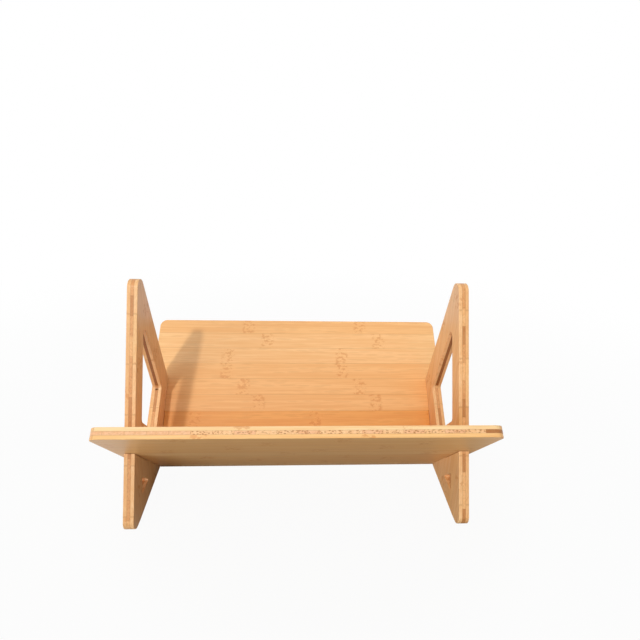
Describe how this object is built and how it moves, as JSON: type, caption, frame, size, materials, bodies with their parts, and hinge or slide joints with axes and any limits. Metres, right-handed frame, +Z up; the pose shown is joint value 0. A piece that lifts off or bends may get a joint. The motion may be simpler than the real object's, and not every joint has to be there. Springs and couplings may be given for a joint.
{
  "type": "record storage stand",
  "caption": "Slot-together tabletop cradle for square sleeves: A-shaped end panels with cut-out windows carry boards that meet in a right-angled V.",
  "frame": {"origin": "on the floor, under the middle of the overall length and depth", "axes": "+X along the row of sleeves, +Y from the low front board to the back board that the sleeves lean on, +Z up"},
  "size_m": [0.408, 0.2856, 0.2626],
  "materials": {
    "face_ply": "clear satin lacquer on natural bamboo",
    "core_ply": "clear satin lacquer on the sawn edge of a darker bamboo core"
  },
  "bodies": {
    "root": {"left_end_outer_ply": "face_ply", "left_end_core_ply": "core_ply", "left_end_inner_ply": "face_ply", "right_end_outer_ply": "face_ply", "right_end_core_ply": "core_ply", "right_end_inner_ply": "face_ply", "front_board_top_ply": "face_ply", "front_board_core_ply": "core_ply", "front_board_under_ply": "face_ply", "back_board_front_ply": "face_ply", "back_board_core_ply": "core_ply", "back_board_rear_ply": "face_ply"}
  },
  "joints": []
}
